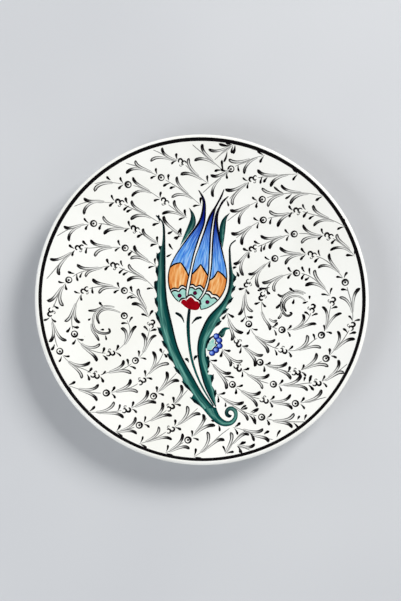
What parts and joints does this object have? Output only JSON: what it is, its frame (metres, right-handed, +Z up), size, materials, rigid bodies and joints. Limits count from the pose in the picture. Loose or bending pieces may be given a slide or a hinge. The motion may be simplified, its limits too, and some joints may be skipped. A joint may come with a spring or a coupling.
{
  "type": "painted ceramic plate",
  "caption": "Round dished ceramic plate on a turned foot ring, painted with a tulip and spiral scrollwork, with two cord holes for hanging.",
  "frame": {"origin": "centre of the foot ring's resting plane", "axes": "+Z up out of the painted face, +Y towards the tulip's tips, +X to the right of the tulip"},
  "size_m": [0.3, 0.3, 0.0305],
  "materials": {
    "fired_clay": "bare fired quartz-rich clay, matt",
    "white_glaze": "clear glaze over white slip, high gloss",
    "black_band": "underglaze black, glossy",
    "cobalt_blue": "brushed underglaze cobalt, glossy",
    "amber": "brushed underglaze amber, glossy",
    "turquoise": "thin underglaze turquoise, glossy",
    "line_black": "underglaze black brush line, glossy",
    "maroon": "underglaze maroon, glossy",
    "coral_red": "thick bole red, glossy",
    "leaf_green": "brushed underglaze green, glossy",
    "deep_green": "dense underglaze green-black, glossy",
    "bead_blue": "underglaze cobalt berries, glossy",
    "scroll_ink": "diluted underglaze black, glossy"
  },
  "bodies": {
    "root": {"back_glaze": "white_glaze", "base_curl": "leaf_green", "blossom_arc": "deep_green", "blossom_beads": "bead_blue", "blossom_core": "turquoise", "blossom_leaflet": "leaf_green", "centre_petal_amber": "amber", "centre_petal_blue": "cobalt_blue", "centre_petal_turquoise": "turquoise", "clay_body": "fired_clay", "face_glaze": "white_glaze", "foot_ring": "fired_clay", "left_leaf": "leaf_green", "left_leaf_shading": "deep_green", "left_petal_amber": "amber", "left_petal_blue": "cobalt_blue", "left_petal_turquoise": "turquoise", "left_sepal": "leaf_green", "petal_dots": "maroon", "petal_outlines": "line_black", "recess_glaze": "white_glaze", "red_heart": "coral_red", "right_leaf": "leaf_green", "right_leaf_shading": "deep_green", "right_petal_amber": "amber", "right_petal_blue": "cobalt_blue", "right_petal_turquoise": "turquoise", "right_sepal": "leaf_green", "rim_band": "black_band", "scallop_lines": "line_black", "scroll_left_curls": "scroll_ink", "scroll_left_leaves": "scroll_ink", "scroll_left_rosettes": "scroll_ink", "scroll_left_stems": "scroll_ink", "scroll_left_ticks": "scroll_ink", "scroll_left_trefoils": "scroll_ink", "scroll_right_curls": "scroll_ink", "scroll_right_leaves": "scroll_ink", "scroll_right_rosettes": "scroll_ink", "scroll_right_stems": "scroll_ink", "scroll_right_ticks": "scroll_ink", "scroll_right_trefoils": "scroll_ink", "stem_sprigs": "deep_green", "tulip_stem": "leaf_green"}
  },
  "joints": []
}
